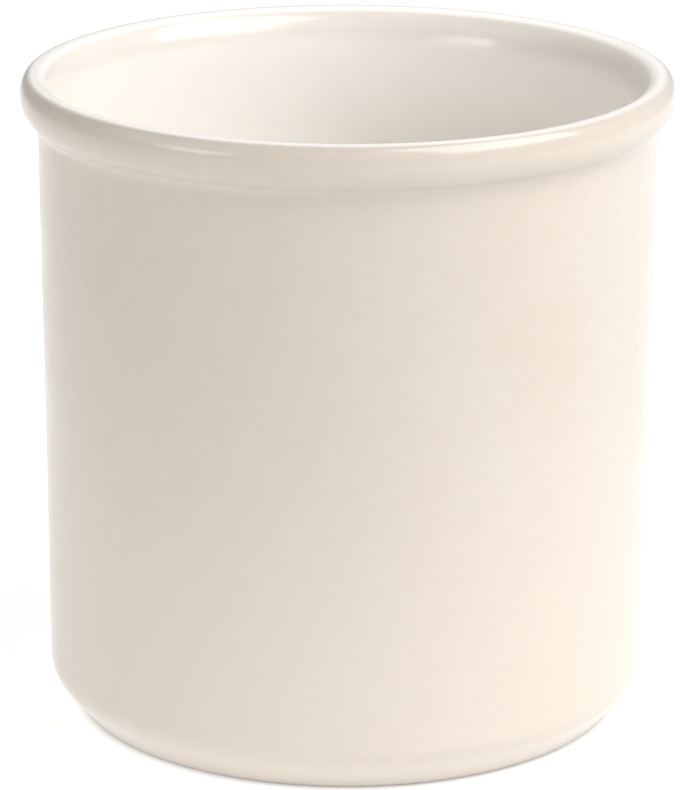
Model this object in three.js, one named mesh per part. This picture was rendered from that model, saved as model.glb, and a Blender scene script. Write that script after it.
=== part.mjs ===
// Open stoneware fermenting crock with its pair of half-moon weight stones.
// Millimetres, +Z up, origin at the middle of the foot, -Y towards the viewer.
import * as THREE from "three";

// Crock, outside
const HEIGHT = 250;
const WALL_R = 118; // outside radius of the wall, level with the crest
const DRAFT = 0.015; // share of that radius which the wall loses by the foot
const CORNER_R = 13; // arc that turns the wall into the base chamfer
const CHAMFER_TILT = THREE.MathUtils.degToRad(40); // from upright
const CHAMFER_RUN = 12.6;
const FOOT_EDGE_R = 3.5;

// Foot
const FOOT_WIDTH = 14; // flat ring that the crock stands on
const RECESS = 2.5; // how far the underside is lifted inside that ring

// Rolled rim bead
const BEAD_PROUD = 6.5; // stands out from the wall
const BEAD_DROP = 17.1; // crest down to the crease under the bead
const BEAD_WAIST = 7.1; // crest down to the widest point
const CREST_OUT = 4; // widest point in to the flat land on the crest
const CREST_LAND = 2; // width of that land
const COVE_ANGLE = THREE.MathUtils.degToRad(-72); // where the cove under the bead starts
const COVE_DROP = 1.6;

// Crock, inside
const LIP_DEPTH = 17; // height of the long rounding that flares the rim open
const MOUTH_R = 109.3; // inside radius just below that rounding
const FLOOR_Z = 12;
const FLOOR_R = 107; // inside radius of the wall carried down to the floor
const FLOOR_FILLET = 16;

// Weight stones
const STONE_R = 96;
const STONE_THICK = 20;
const STONE_EDGE = 3.5; // rounding of the top and bottom edges
const STONE_TIP_R = 8; // rounding of the two tips
const STONE_SPLIT = 4; // gap between the two straight edges
const FINGER_R = 14; // half-round bite in each straight edge
const REST_GAP = 0.3; // stone to floor

// Facets
const ROUND_SEGMENTS = 64;
const ARC_SEGMENTS = 3; // half the facets of each profile arc
const STONE_ARC_SEGMENTS = 16;

const glaze = new THREE.MeshStandardMaterial({ color: 0xeee2d2, roughness: 0.18, metalness: 0 });
const bareClay = new THREE.MeshStandardMaterial({ color: 0xd6c8b4, roughness: 0.8, metalness: 0 });

function wallRadius(z) {
  return WALL_R * (1 - DRAFT * (1 - z / HEIGHT));
}

// The foot and the base chamfer, from the axis outwards and up to the wall.
function addBase(path) {
  const sin = Math.sin(CHAMFER_TILT);
  const cos = Math.cos(CHAMFER_TILT);
  const cornerZ = CORNER_R * sin + CHAMFER_RUN * cos + FOOT_EDGE_R * (1 - sin);
  const cornerX = wallRadius(cornerZ) - CORNER_R;
  const footX = cornerX + CORNER_R * cos - CHAMFER_RUN * sin - FOOT_EDGE_R * cos;
  const recessX = footX - FOOT_WIDTH;
  path.moveTo(0, RECESS);
  path.lineTo(recessX - RECESS, RECESS);
  path.lineTo(recessX, 0);
  path.absarc(footX, FOOT_EDGE_R, FOOT_EDGE_R, -Math.PI / 2, -CHAMFER_TILT, false);
  path.absarc(cornerX, cornerZ, CORNER_R, -CHAMFER_TILT, 0, false);
}

// The wall, the bead and the lip, from the base corner up and over to the mouth.
function addRim(path) {
  const waistZ = HEIGHT - BEAD_WAIST;
  const beadHeight = BEAD_DROP - BEAD_WAIST;
  const creaseR = wallRadius(HEIGHT - BEAD_DROP);
  const waistR = creaseR + BEAD_PROUD;
  const coveX = creaseR + BEAD_PROUD * Math.cos(COVE_ANGLE);
  const coveZ = waistZ + beadHeight * Math.sin(COVE_ANGLE);
  const slope = (-beadHeight * Math.cos(COVE_ANGLE)) / (BEAD_PROUD * Math.sin(COVE_ANGLE));
  const cornerZ = coveZ - slope * (coveX - creaseR);
  path.lineTo(creaseR, cornerZ - COVE_DROP);
  path.quadraticCurveTo(creaseR, cornerZ, coveX, coveZ);
  path.absellipse(creaseR, waistZ, BEAD_PROUD, beadHeight, COVE_ANGLE, 0, false, 0);
  path.absellipse(waistR - CREST_OUT, waistZ, CREST_OUT, BEAD_WAIST, 0, Math.PI / 2, false, 0);
  const landR = waistR - CREST_OUT - CREST_LAND;
  const lipZ = HEIGHT - LIP_DEPTH;
  path.absellipse(landR, lipZ, landR - MOUTH_R, LIP_DEPTH, Math.PI / 2, Math.PI, false, 0);
}

// The inside, from the mouth down and across the floor to the axis.
function addInside(path) {
  const filletX = FLOOR_R - FLOOR_FILLET;
  path.absarc(filletX, FLOOR_Z + FLOOR_FILLET, FLOOR_FILLET, 0, -Math.PI / 2, true);
  path.lineTo(0, FLOOR_Z);
}

function crockGeometry() {
  const path = new THREE.Path();
  addBase(path);
  addRim(path);
  addInside(path);
  const lathe = new THREE.LatheGeometry(path.getPoints(ARC_SEGMENTS), ROUND_SEGMENTS);
  return lathe.rotateX(Math.PI / 2);
}

// One half moon: straight edge near x = 0, bite at its middle, arc towards +X.
function stoneOutline() {
  const edge = STONE_SPLIT / 2;
  const tipX = edge + STONE_TIP_R;
  const tipY = Math.sqrt((STONE_R - STONE_TIP_R) ** 2 - tipX ** 2);
  const tipAngle = Math.atan2(tipY, tipX);
  const biteAngle = Math.acos(edge / FINGER_R);
  const shape = new THREE.Shape();
  shape.absarc(0, 0, STONE_R, -tipAngle, tipAngle, false);
  shape.absarc(tipX, tipY, STONE_TIP_R, tipAngle, Math.PI, false);
  shape.absarc(0, 0, FINGER_R, biteAngle, -biteAngle, true);
  shape.absarc(tipX, -tipY, STONE_TIP_R, Math.PI, 2 * Math.PI - tipAngle, false);
  return shape;
}

function stoneGeometry() {
  const stone = new THREE.ExtrudeGeometry(stoneOutline(), {
    depth: STONE_THICK - 2 * STONE_EDGE,
    bevelThickness: STONE_EDGE,
    bevelSize: STONE_EDGE,
    bevelOffset: -STONE_EDGE,
    bevelSegments: ARC_SEGMENTS,
    curveSegments: STONE_ARC_SEGMENTS / 2,
  });
  return stone.translate(0, 0, STONE_EDGE);
}

function namedMesh(name, geometry, material) {
  const mesh = new THREE.Mesh(geometry, material);
  mesh.name = name;
  return mesh;
}

const crock = namedMesh("crock", crockGeometry(), glaze);

const weights = new THREE.Group();
weights.position.z = FLOOR_Z + REST_GAP;
const stone = stoneGeometry();
const rightStone = namedMesh("weight_stone_right", stone, bareClay);
const leftStone = namedMesh("weight_stone_left", stone, bareClay);
leftStone.rotation.z = Math.PI;
weights.add(leftStone, rightStone);

const fermenter = new THREE.Group();
fermenter.add(crock, weights);

export default fermenter;
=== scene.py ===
"""Open stoneware fermenting crock with half-moon weight stones, seen on a pale studio floor.

Metres, +Z up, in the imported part's own frame. The crock and the stones are built here as fine
meshes that stand for the plain CAD solids.
"""

import math

import bmesh
import bpy
from mathutils import Euler, Matrix, Vector, noise


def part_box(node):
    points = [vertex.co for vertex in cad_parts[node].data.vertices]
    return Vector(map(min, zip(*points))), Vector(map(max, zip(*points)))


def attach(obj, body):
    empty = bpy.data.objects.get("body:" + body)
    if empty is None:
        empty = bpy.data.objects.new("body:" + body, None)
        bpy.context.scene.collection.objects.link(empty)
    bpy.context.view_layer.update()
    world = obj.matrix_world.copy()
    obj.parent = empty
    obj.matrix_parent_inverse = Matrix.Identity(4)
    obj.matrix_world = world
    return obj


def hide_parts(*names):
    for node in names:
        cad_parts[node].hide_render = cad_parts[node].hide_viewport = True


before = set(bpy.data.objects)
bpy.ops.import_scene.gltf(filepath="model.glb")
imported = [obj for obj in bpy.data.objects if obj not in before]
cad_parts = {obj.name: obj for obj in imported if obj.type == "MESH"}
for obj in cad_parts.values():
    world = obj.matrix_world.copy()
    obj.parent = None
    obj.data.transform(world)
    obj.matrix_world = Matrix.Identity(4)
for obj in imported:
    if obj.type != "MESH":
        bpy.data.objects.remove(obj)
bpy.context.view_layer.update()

MM = 0.001

# Crock. The outside comes from the CAD node's box, and these are the shapes between its corners.
CROCK_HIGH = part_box("crock")[1]
HEIGHT = CROCK_HIGH.z
WAIST_R = CROCK_HIGH.x          # widest radius of the rim bead
BEAD_PROUD = 6.5 * MM           # bead beyond the wall
BEAD_DROP = 17.1 * MM           # crest down to the crease
BEAD_WAIST = 7.1 * MM           # crest down to the widest point
CREST_OUT = 4.0 * MM
CREST_LAND = 2.0 * MM
COVE_ANGLE = math.radians(-62)
COVE_DROP = 2.6 * MM
CREASE_R = WAIST_R - BEAD_PROUD
DRAFT = 0.0139                  # share of the wall radius lost between the crease and the foot
CORNER_R = 13.0 * MM
CHAMFER_TILT = math.radians(40)
CHAMFER_RUN = 12.6 * MM
FOOT_EDGE_R = 3.5 * MM
FOOT_WIDTH = 14.0 * MM
RECESS = 2.5 * MM
LIP_DEPTH = 17.0 * MM           # the mouth flares open over this height
MOUTH_R = CREASE_R - 8.6 * MM
FLOOR_Z = 12.0 * MM
FLOOR_R = 107.0 * MM
FLOOR_FILLET = 16.0 * MM

GLAZE_LINE = 0.7 * MM           # the glaze stops here, and the foot ring below it is bare

TURNS = 256                     # facets round the crock
ROW_STEP = 2.2 * MM             # spacing of the rows up a wall
FLAT_STEP = 6.0 * MM            # and across the floor and the underside


# ---------------------------------------------------------------- profile and turning

def arc(centre, radii, start, end, steps):
    """Points on an ellipse's arc, without its first one."""
    points = []
    for i in range(1, steps + 1):
        angle = start + (end - start) * i / steps
        points.append((centre[0] + radii[0] * math.cos(angle),
                       centre[1] + radii[1] * math.sin(angle)))
    return points


def straight(start, end, step=ROW_STEP):
    """Points from start to end about a step apart, without the first one."""
    steps = max(1, round(math.dist(start, end) / step))
    return [(start[0] + (end[0] - start[0]) * i / steps,
             start[1] + (end[1] - start[1]) * i / steps) for i in range(1, steps + 1)]


def quadratic(start, control, end, steps):
    """Points on a quadratic curve, without its first one."""
    points = []
    for i in range(1, steps + 1):
        t = i / steps
        points.append(tuple(start[k] * (1 - t) ** 2 + 2 * control[k] * t * (1 - t) + end[k] * t * t
                            for k in range(2)))
    return points


def wall_radius(z):
    crease_z = HEIGHT - BEAD_DROP
    return CREASE_R * (1 - DRAFT * (1 - z / crease_z))


def base_profile():
    """Underside, foot and base chamfer, from the axis out to the wall."""
    sin, cos = math.sin(CHAMFER_TILT), math.cos(CHAMFER_TILT)
    corner_z = CORNER_R * sin + CHAMFER_RUN * cos + FOOT_EDGE_R * (1 - sin)
    corner_x = wall_radius(corner_z) - CORNER_R
    foot_x = corner_x + CORNER_R * cos - CHAMFER_RUN * sin - FOOT_EDGE_R * cos
    recess_x = foot_x - FOOT_WIDTH
    points = [(0.0, RECESS)]
    points += straight(points[-1], (recess_x - 2.5 * RECESS, RECESS), FLAT_STEP)
    points += quadratic(points[-1], (recess_x - RECESS, RECESS), (recess_x - 0.6 * RECESS, RECESS / 2), 4)
    points += quadratic(points[-1], (recess_x - 0.2 * RECESS, 0), (recess_x + RECESS, 0), 4)
    points += straight(points[-1], (foot_x, 0))
    points += arc((foot_x, FOOT_EDGE_R), (FOOT_EDGE_R,) * 2, -math.pi / 2, -CHAMFER_TILT, 14)
    chamfer_top = (corner_x + CORNER_R * cos, corner_z - CORNER_R * sin)
    points += straight(points[-1], chamfer_top)
    points += arc((corner_x, corner_z), (CORNER_R,) * 2, -CHAMFER_TILT, 0, 8)
    return points


def rim_profile(start):
    """Wall, cove, bead, crest and lip, from the base corner up and over into the mouth."""
    waist_z = HEIGHT - BEAD_WAIST
    bead_height = BEAD_DROP - BEAD_WAIST
    cove = (CREASE_R + BEAD_PROUD * math.cos(COVE_ANGLE), waist_z + bead_height * math.sin(COVE_ANGLE))
    slope = -bead_height * math.cos(COVE_ANGLE) / (BEAD_PROUD * math.sin(COVE_ANGLE))
    crease = (CREASE_R, cove[1] - slope * (cove[0] - CREASE_R))
    points = straight(start, (CREASE_R, crease[1] - COVE_DROP))
    points += quadratic(points[-1], crease, cove, 6)
    points += arc((CREASE_R, waist_z), (BEAD_PROUD, bead_height), COVE_ANGLE, 0, 14)
    points += arc((WAIST_R - CREST_OUT, waist_z), (CREST_OUT, BEAD_WAIST), 0, math.pi / 2, 12)
    land_r = WAIST_R - CREST_OUT - CREST_LAND
    points += straight(points[-1], (land_r, HEIGHT))
    lip = (land_r - MOUTH_R, LIP_DEPTH)
    points += arc((land_r, HEIGHT - LIP_DEPTH), lip, math.pi / 2, math.pi, 24)
    return points


def inside_profile(start):
    """Inner wall, fillet and floor, from the mouth down to the axis."""
    fillet = (FLOOR_R - FLOOR_FILLET, FLOOR_Z + FLOOR_FILLET)
    points = straight(start, (FLOOR_R, fillet[1]))
    points += arc(fillet, (FLOOR_FILLET,) * 2, 0, -math.pi / 2, 14)
    points += straight(points[-1], (0.0, FLOOR_Z), FLAT_STEP)
    return points


def crock_profile():
    points = base_profile()
    points += rim_profile(points[-1])
    points += inside_profile(points[-1])
    return points


def turned_mesh(name, profile, turns, shift):
    """Turns a profile that starts and ends on the axis; shift(radius, z, angle) gives a small inset."""
    bm = bmesh.new()
    rows = []
    for radius, z in profile[1:-1]:
        row = []
        for i in range(turns):
            angle = 2 * math.pi * i / turns
            r = radius - shift(radius, z, angle)
            row.append(bm.verts.new((r * math.sin(angle), -r * math.cos(angle), z)))
        rows.append(row)
    bottom = bm.verts.new((0, 0, profile[0][1]))
    top = bm.verts.new((0, 0, profile[-1][1]))
    for lower, upper in zip(rows, rows[1:]):
        for i in range(turns):
            j = (i + 1) % turns
            bm.faces.new((lower[i], lower[j], upper[j], upper[i]))
    for i in range(turns):
        j = (i + 1) % turns
        bm.faces.new((bottom, rows[0][j], rows[0][i]))
        bm.faces.new((top, rows[-1][i], rows[-1][j]))
    mesh = bpy.data.meshes.new(name)
    bm.to_mesh(mesh)
    bm.free()
    for polygon in mesh.polygons:
        polygon.use_smooth = True
    piece = bpy.data.objects.new(name, mesh)
    bpy.context.scene.collection.objects.link(piece)
    return piece


def hand_wander(radius, z, angle):
    """How far a turned wall wanders inwards: slow waves round it and faint throwing rings up it."""
    around = Vector((math.sin(angle), -math.cos(angle), 0)) * 1.3
    slow = noise.noise(around + Vector((0, 0, z * 9)))
    rings = noise.noise(Vector((3.7, radius * 20, z * 260)))
    upright = min(1.0, max(0.0, (z - 20 * MM) / (30 * MM)))
    return MM * (0.16 + 0.12 * slow + 0.04 * rings * upright)


# ---------------------------------------------------------------- materials

GLAZE_PALE = (0.6, 0.537, 0.471)        # cream glaze, outside
GLAZE_WARM = (0.583, 0.517, 0.448)
GLAZE_DEEP = (0.56, 0.49, 0.416)
GLAZE_PAINTED_BOUNCE = (0.735, 0.66, 0.58)      # painted bounce light from the floor, paler low on the wall
GLAZE_INSIDE_PAINTED_LIGHT = (0.965, 0.925, 0.875)     # inside the crock: painted bounce light, and a painted highlight on the crest
CLAY_PALE = (0.62, 0.53, 0.41)          # bare stoneware
CLAY_WARM = (0.58, 0.46, 0.33)
CLAY_DARK = (0.42, 0.33, 0.23)
IRON = (0.16, 0.09, 0.05)               # specks in both
GLAZE_IOR = 1.52
CLAY_ROUGHNESS = 0.85


def new_material(name, viewport):
    material = bpy.data.materials.new(name)
    material.use_nodes = True
    material.diffuse_color = (*viewport, 1)
    tree = material.node_tree
    shader = tree.nodes["Principled BSDF"]
    return material, tree, shader


def node(tree, kind, **settings):
    made = tree.nodes.new(kind)
    for key, value in settings.items():
        setattr(made, key, value)
    return made


def object_coordinates(tree):
    return node(tree, "ShaderNodeTexCoord").outputs["Object"]


def noise_field(tree, coordinates, scale, detail=3.0, roughness=0.5):
    made = node(tree, "ShaderNodeTexNoise")
    made.inputs["Scale"].default_value = scale
    made.inputs["Detail"].default_value = detail
    made.inputs["Roughness"].default_value = roughness
    tree.links.new(coordinates, made.inputs["Vector"])
    return made.outputs["Fac"]


def remap(tree, value, low, high, to_low=0.0, to_high=1.0, smooth=True):
    made = node(tree, "ShaderNodeMapRange")
    made.interpolation_type = "SMOOTHSTEP" if smooth else "LINEAR"
    made.inputs["From Min"].default_value = low
    made.inputs["From Max"].default_value = high
    made.inputs["To Min"].default_value = to_low
    made.inputs["To Max"].default_value = to_high
    tree.links.new(value, made.inputs["Value"])
    return made.outputs["Result"]


def mix_colour(tree, share, first, second):
    made = node(tree, "ShaderNodeMix", data_type="RGBA")
    for socket, value in (("Factor", share), ("A", first), ("B", second)):
        target = next(s for s in made.inputs if s.name == socket and s.type in ("VALUE", "RGBA")
                      and (s.type == "RGBA") == (socket != "Factor"))
        if hasattr(value, "default_value"):
            tree.links.new(value, target)
        elif socket == "Factor":
            target.default_value = value
        else:
            target.default_value = (*value, 1)
    return next(s for s in made.outputs if s.type == "RGBA")


def math_node(tree, operation, first, second):
    made = node(tree, "ShaderNodeMath", operation=operation)
    for index, value in enumerate((first, second)):
        if hasattr(value, "default_value"):
            tree.links.new(value, made.inputs[index])
        else:
            made.inputs[index].default_value = value
    return made.outputs[0]


def specks(tree, coordinates, scale, size, share):
    """A mask of small round specks: one speck in some of the cells of a Voronoi field."""
    cells = node(tree, "ShaderNodeTexVoronoi")
    cells.inputs["Scale"].default_value = scale
    tree.links.new(coordinates, cells.inputs["Vector"])
    near = remap(tree, cells.outputs["Distance"], size, size * 0.4)
    split = node(tree, "ShaderNodeSeparateColor")
    tree.links.new(cells.outputs["Color"], split.inputs["Color"])
    chosen = math_node(tree, "LESS_THAN", split.outputs[0], share)
    return math_node(tree, "MULTIPLY", near, chosen)


def bump(tree, height, distance, strength, after=None):
    made = node(tree, "ShaderNodeBump")
    made.inputs["Distance"].default_value = distance
    made.inputs["Strength"].default_value = strength
    tree.links.new(height, made.inputs["Height"])
    if after is not None:
        tree.links.new(after, made.inputs["Normal"])
    return made.outputs["Normal"]


def cream_glaze():
    material, tree, shader = new_material("cream_glaze", (0.85, 0.78, 0.68))
    where = object_coordinates(tree)
    axes = node(tree, "ShaderNodeSeparateXYZ")
    tree.links.new(where, axes.inputs["Vector"])
    height = axes.outputs["Z"]

    # Broad clouds, a fine mottle, painted floor bounce that pales the glaze low on the wall, and a few
    # faint iron specks.
    cloud = remap(tree, noise_field(tree, where, 14, 4), 0.3, 0.7)
    colour = mix_colour(tree, cloud, GLAZE_PALE, GLAZE_WARM)
    mottle = remap(tree, noise_field(tree, where, 160, 3), 0.35, 0.75, 0.0, 0.35)
    colour = mix_colour(tree, mottle, colour, GLAZE_DEEP)
    # Painted bounce light: the outside wall gets paler towards the bottom.
    painted_bounce = remap(tree, height, 0.8 * HEIGHT, 0.08 * HEIGHT, 0.0, 0.6)
    colour = mix_colour(tree, painted_bounce, colour, GLAZE_PAINTED_BOUNCE)
    iron = specks(tree, where, 210, 0.2, 0.04)
    iron_share = math_node(tree, "MULTIPLY", iron, 0.05)
    colour = mix_colour(tree, iron_share, colour, IRON)

    # Bare clay below the glaze line, which wanders a little.
    edge = noise_field(tree, where, 60, 4)
    line = math_node(tree, "ADD", height, remap(tree, edge, 0.2, 0.8, -0.0003, 0.0003, smooth=False))
    glazed = remap(tree, line, GLAZE_LINE - 0.00035, GLAZE_LINE + 0.00035)
    grain = remap(tree, noise_field(tree, where, 500, 4), 0.3, 0.7)
    clay = mix_colour(tree, grain, CLAY_PALE, CLAY_DARK)
    colour = mix_colour(tree, glazed, clay, colour)

    # Painted bounce light makes the colour paler on the axis side of the middle of the wall, fainter on
    # the lip as painted shade, and stronger on the crest as a painted highlight.
    flat = node(tree, "ShaderNodeCombineXYZ")
    tree.links.new(axes.outputs["X"], flat.inputs["X"])
    tree.links.new(axes.outputs["Y"], flat.inputs["Y"])
    radius = node(tree, "ShaderNodeVectorMath", operation="LENGTH")
    tree.links.new(flat.outputs[0], radius.inputs[0])
    middle = remap(tree, height, FLOOR_Z, HEIGHT - BEAD_DROP,
                   FLOOR_R + 2.5 * MM, MOUTH_R + 4.5 * MM, smooth=False)
    flare = remap(tree, height, HEIGHT - BEAD_DROP, HEIGHT, 0.0, 7 * MM)
    outward = math_node(tree, "SUBTRACT", radius.outputs["Value"], middle)
    outward = math_node(tree, "SUBTRACT", outward, flare)
    inside = remap(tree, outward, 1.5 * MM, -1.5 * MM)
    above_floor = remap(tree, height, FLOOR_Z - 3 * MM, FLOOR_Z - 2 * MM)
    inside = math_node(tree, "MULTIPLY", inside, above_floor)
    # Less of the paler colour on the lip: a painted shade on the lip band.
    share = remap(tree, height, HEIGHT - LIP_DEPTH, HEIGHT - 0.4 * LIP_DEPTH, 0.9, 0.5)
    # More of the paler colour on the crest: a painted highlight along the crest.
    painted_crest_highlight = remap(tree, height, HEIGHT - 2 * MM, HEIGHT - 0.7 * MM, 0.0, 0.45)
    share = math_node(tree, "ADD", share, painted_crest_highlight)
    # Painted light: the inside gets a paler colour in place of bounce light.
    painted_light_colour = mix_colour(tree, share, colour, GLAZE_INSIDE_PAINTED_LIGHT)
    colour = mix_colour(tree, inside, colour, painted_light_colour)
    tree.links.new(colour, shader.inputs["Base Color"])

    soft = remap(tree, noise_field(tree, where, 45, 3), 0.3, 0.7, 0.15, 0.23)
    rough = node(tree, "ShaderNodeMix", data_type="FLOAT")
    tree.links.new(glazed, rough.inputs[0])
    rough.inputs[2].default_value = CLAY_ROUGHNESS
    tree.links.new(soft, rough.inputs[3])
    tree.links.new(rough.outputs[0], shader.inputs["Roughness"])
    shader.inputs["IOR"].default_value = GLAZE_IOR

    # The glaze's slow waves and its fine orange peel.
    waves = noise_field(tree, where, 55, 2)
    peel = noise_field(tree, where, 420, 2)
    normal = bump(tree, waves, 0.0006, 0.25)
    normal = bump(tree, peel, 0.00008, 0.35, normal)
    tree.links.new(normal, shader.inputs["Normal"])
    return material


def bare_stoneware():
    material, tree, shader = new_material("bare_stoneware", (0.6, 0.51, 0.38))
    where = object_coordinates(tree)
    cloud = remap(tree, noise_field(tree, where, 22, 4), 0.3, 0.7)
    colour = mix_colour(tree, cloud, CLAY_PALE, CLAY_WARM)
    grain = remap(tree, noise_field(tree, where, 650, 4), 0.35, 0.7, 0.0, 0.5)
    colour = mix_colour(tree, grain, colour, CLAY_DARK)
    iron = math_node(tree, "MULTIPLY", specks(tree, where, 260, 0.2, 0.3), 0.6)
    colour = mix_colour(tree, iron, colour, IRON)
    tree.links.new(colour, shader.inputs["Base Color"])
    rough = remap(tree, noise_field(tree, where, 90, 3), 0.3, 0.7, 0.72, 0.9)
    tree.links.new(rough, shader.inputs["Roughness"])
    normal = bump(tree, noise_field(tree, where, 700, 4, 0.7), 0.0003, 0.7)
    tree.links.new(normal, shader.inputs["Normal"])
    return material


# ---------------------------------------------------------------- weight stones

STONE_EDGE = 3.5 * MM
STONE_TIP_R = 8.0 * MM
FINGER_R = 14.0 * MM
STONE_GRAIN = 0.85 * MM         # mesh size of a stone's skin


def stone_outline(side):
    """The half moon's outline from its CAD box, straight edge towards the axis; side is -1 or 1."""
    low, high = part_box("weight_stone_right" if side > 0 else "weight_stone_left")
    split = low.x if side > 0 else -high.x
    outer = high.x if side > 0 else -low.x
    tip_x = split + STONE_TIP_R
    tip_y = math.sqrt((outer - STONE_TIP_R) ** 2 - tip_x ** 2)
    tip_angle = math.atan2(tip_y, tip_x)
    bite = math.acos(split / FINGER_R)
    centre = (0.0, 0.0)
    points = arc(centre, (outer,) * 2, -tip_angle, tip_angle, 96)
    points += arc((tip_x, tip_y), (STONE_TIP_R,) * 2, tip_angle, math.pi, 16)
    points += straight(points[-1], (split, FINGER_R * math.sin(bite)))
    points += arc(centre, (FINGER_R,) * 2, bite, -bite, 24)
    points += straight(points[-1], (split, -tip_y))
    points += arc((tip_x, -tip_y), (STONE_TIP_R,) * 2, math.pi, 2 * math.pi - tip_angle, 16)
    return [(side * x, side * y) for x, y in points]


def cut_slab(name, outline, bottom, top):
    """A flat slab with that outline and rounded edges, as a dense even mesh."""
    bm = bmesh.new()
    ring = [bm.verts.new((x, y, bottom)) for x, y in outline]
    lifted = bmesh.ops.extrude_face_region(bm, geom=[bm.faces.new(ring)])
    for v in lifted["geom"]:
        if isinstance(v, bmesh.types.BMVert):
            v.co.z = top
    bmesh.ops.recalc_face_normals(bm, faces=bm.faces)
    mesh = bpy.data.meshes.new(name)
    bm.to_mesh(mesh)
    bm.free()
    slab = bpy.data.objects.new(name, mesh)
    bpy.context.scene.collection.objects.link(slab)
    edge = slab.modifiers.new("edge", "BEVEL")
    edge.width = STONE_EDGE
    edge.segments = 6
    edge.limit_method = "ANGLE"
    edge.angle_limit = math.radians(50)
    even = slab.modifiers.new("even", "REMESH")
    even.mode = "VOXEL"
    even.voxel_size = STONE_GRAIN
    even.use_smooth_shade = True
    dense = bpy.data.meshes.new_from_object(slab.evaluated_get(bpy.context.evaluated_depsgraph_get()))
    slab.modifiers.clear()
    slab.data = dense
    dense.name = name
    bpy.data.meshes.remove(mesh)
    return slab


def weather(mesh, seed):
    """Sinks a stone's skin by its low hollows, its fine grain and its scattered pits."""
    offset = Vector((seed, 0, 0))
    skin = [(v.co.copy(), v.normal.copy()) for v in mesh.vertices]
    sunk = []
    for co, normal in skin:
        at = co + offset
        hollows = 0.22 * (1 + noise.noise(at * 38))
        grain = 0.05 * (1 + noise.noise(at * 420))
        pit = noise.voronoi(at * 130)[0][0]
        pits = 0.45 * max(0.0, 1 - pit / 0.16)
        sunk.extend(co - normal * MM * (0.03 + hollows + grain + pits))
    mesh.vertices.foreach_set("co", sunk)
    mesh.update()


def weight_stone(side):
    node_name = "weight_stone_right" if side > 0 else "weight_stone_left"
    low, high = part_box(node_name)
    stone = cut_slab(node_name + "_piece", stone_outline(side), low.z, high.z)
    weather(stone.data, 5.0 if side > 0 else 9.0)
    return stone


# ---------------------------------------------------------------- build

def place(piece, body, node_name, material):
    piece.data.materials.append(material)
    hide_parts(node_name)
    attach(piece, body)


glaze = cream_glaze()
clay = bare_stoneware()
crock = turned_mesh("crock_piece", crock_profile(), TURNS, hand_wander)
place(crock, "crock", "crock", glaze)
place(weight_stone(1), "stone_right", "weight_stone_right", clay)
place(weight_stone(-1), "stone_left", "weight_stone_left", clay)


# ---------------------------------------------------------------- studio

LENS = 193.5                    # focal length in mm
EYE = (-0.0034, -6.30, 2.425)   # in crock heights
LOOK_DOWN = 17.12               # degrees
EYE_ROLL = 0.12                 # degrees
FLOOR_COLOUR = (0.45, 0.45, 0.445)
WORLD_STRENGTH = 0.03
SWEEP_FLAT = 3.0                # radius of its flat part
SWEEP_CURVE = 1.5               # radius of the curve up into the wall
SWEEP_TOP = 5.0
SWEEP_TURNS = 48
FLOOR_GLOW = 0.75               # round the crock
BACKDROP_GLOW = 0.31            # further off and up the wall of the sweep
LAMP_DISTANCE = 1.8
SOFTBOXES = (                   # name, azimuth, elevation, size and power
    ("key", 63, 47, (1.6, 1.4), 37.5),
    ("fill", -74, 31, (1.3, 1.1), 3),
    ("back", 172, 48, (1.2, 0.8), 4),
    ("window", -52, 15, (0.75, 0.32), 3.5),
)


def stage_material():
    """Pale paper lit from beneath by its own glow, less so further off, with a painted contact shadow
    where the glow dims under the foot.
    """
    material, tree, shader = new_material("studio_floor", FLOOR_COLOUR)
    where = object_coordinates(tree)
    paper = remap(tree, noise_field(tree, where, 6, 3), 0.3, 0.7, 0.0, 0.04)
    tree.links.new(mix_colour(tree, paper, FLOOR_COLOUR, (0.4, 0.4, 0.4)), shader.inputs["Base Color"])
    shader.inputs["Roughness"].default_value = 0.9
    distance = node(tree, "ShaderNodeVectorMath", operation="LENGTH")
    tree.links.new(where, distance.inputs[0])
    spread = remap(tree, distance.outputs["Value"], 1.3, 3.2, FLOOR_GLOW, BACKDROP_GLOW)
    # The glow dims under the foot: a painted contact shadow round the base.
    contact_shadow_fade = remap(tree, distance.outputs["Value"], 0.8 * WAIST_R, 0.88 * WAIST_R, 0.1, 1.0)
    glow = math_node(tree, "MULTIPLY", spread, contact_shadow_fade)
    shader.inputs["Emission Color"].default_value = (1, 1, 1, 1)
    tree.links.new(glow, shader.inputs["Emission Strength"])
    return material


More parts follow.
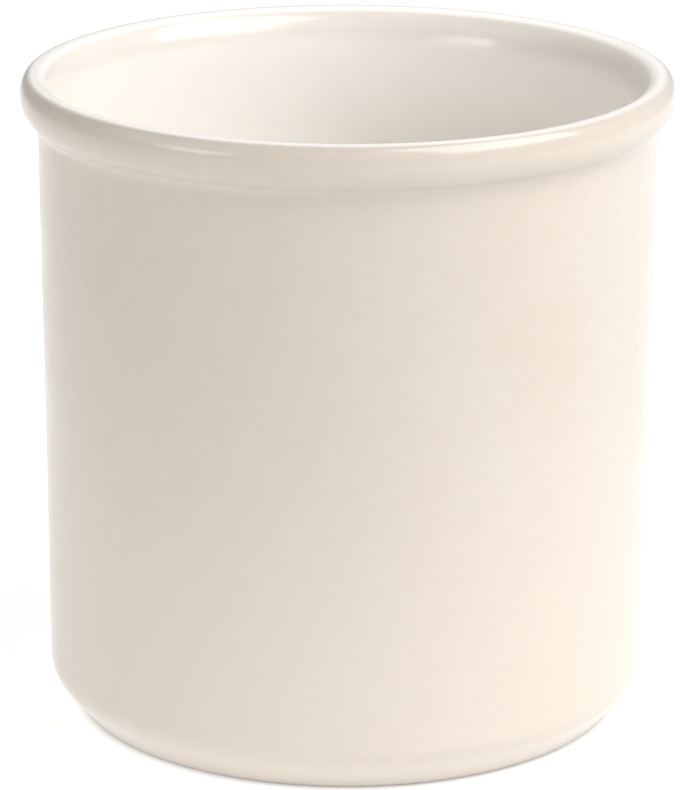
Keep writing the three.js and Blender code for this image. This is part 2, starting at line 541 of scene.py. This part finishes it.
def floor_and_backdrop():
    """One pale round sweep: flat under the crock, curving up into a wall all round it."""
    path = [(SWEEP_FLAT / 2, 0.0), (SWEEP_FLAT, 0.0)]
    path += arc((SWEEP_FLAT, SWEEP_CURVE), (SWEEP_CURVE,) * 2, -math.pi / 2, 0, 6)
    path.append((SWEEP_FLAT + SWEEP_CURVE, SWEEP_TOP))
    bm = bmesh.new()
    middle = bm.verts.new((0, 0, 0))
    around = [2 * math.pi * i / SWEEP_TURNS for i in range(SWEEP_TURNS)]
    rows = [[bm.verts.new((r * math.sin(a), -r * math.cos(a), z)) for a in around] for r, z in path]
    for i in range(SWEEP_TURNS):
        j = (i + 1) % SWEEP_TURNS
        bm.faces.new((middle, rows[0][i], rows[0][j]))
        for inner, outer in zip(rows, rows[1:]):
            bm.faces.new((inner[i], outer[i], outer[j], inner[j]))
    mesh = bpy.data.meshes.new("studio_sweep")
    bm.to_mesh(mesh)
    bm.free()
    for polygon in mesh.polygons:
        polygon.use_smooth = True
    sweep = bpy.data.objects.new("studio_sweep", mesh)
    bpy.context.scene.collection.objects.link(sweep)
    mesh.materials.append(stage_material())


def softbox(name, azimuth, elevation, size, power):
    """An area light aimed at the crock; azimuth 0 is at the camera and 90 to the right."""
    a, e = math.radians(azimuth), math.radians(elevation)
    aim = Vector((0, 0, HEIGHT * 0.55))
    towards = Vector((math.sin(a) * math.cos(e), -math.cos(a) * math.cos(e), math.sin(e)))
    lamp = bpy.data.lights.new(name, "AREA")
    lamp.shape = "RECTANGLE"
    lamp.size, lamp.size_y = size
    lamp.energy = power
    thing = bpy.data.objects.new(name, lamp)
    thing.location = aim + towards * LAMP_DISTANCE
    thing.rotation_euler = towards.to_track_quat("Z", "Y").to_euler()
    thing.visible_camera = False
    bpy.context.scene.collection.objects.link(thing)


def world_light():
    world = bpy.data.worlds.new("studio_air")
    bpy.context.scene.world = world
    world.use_nodes = True
    back = world.node_tree.nodes["Background"]
    back.inputs["Color"].default_value = (1, 1, 1, 1)
    back.inputs["Strength"].default_value = WORLD_STRENGTH


def camera():
    """The eye stands back 6.3 crock heights and looks down a little at the crock's middle."""
    data = bpy.data.cameras.new("camera")
    data.lens = LENS
    data.clip_end = 100
    eye = bpy.data.objects.new("camera", data)
    eye.location = Vector(EYE) * HEIGHT
    pitch = Euler((math.radians(90 - LOOK_DOWN), 0, 0)).to_matrix()
    eye.rotation_euler = (pitch @ Matrix.Rotation(math.radians(EYE_ROLL), 3, "Z")).to_euler()
    bpy.context.scene.collection.objects.link(eye)
    bpy.context.scene.camera = eye


floor_and_backdrop()
world_light()
for lamp_settings in SOFTBOXES:
    softbox(*lamp_settings)
camera()
bpy.context.scene.view_settings.view_transform = "Standard"
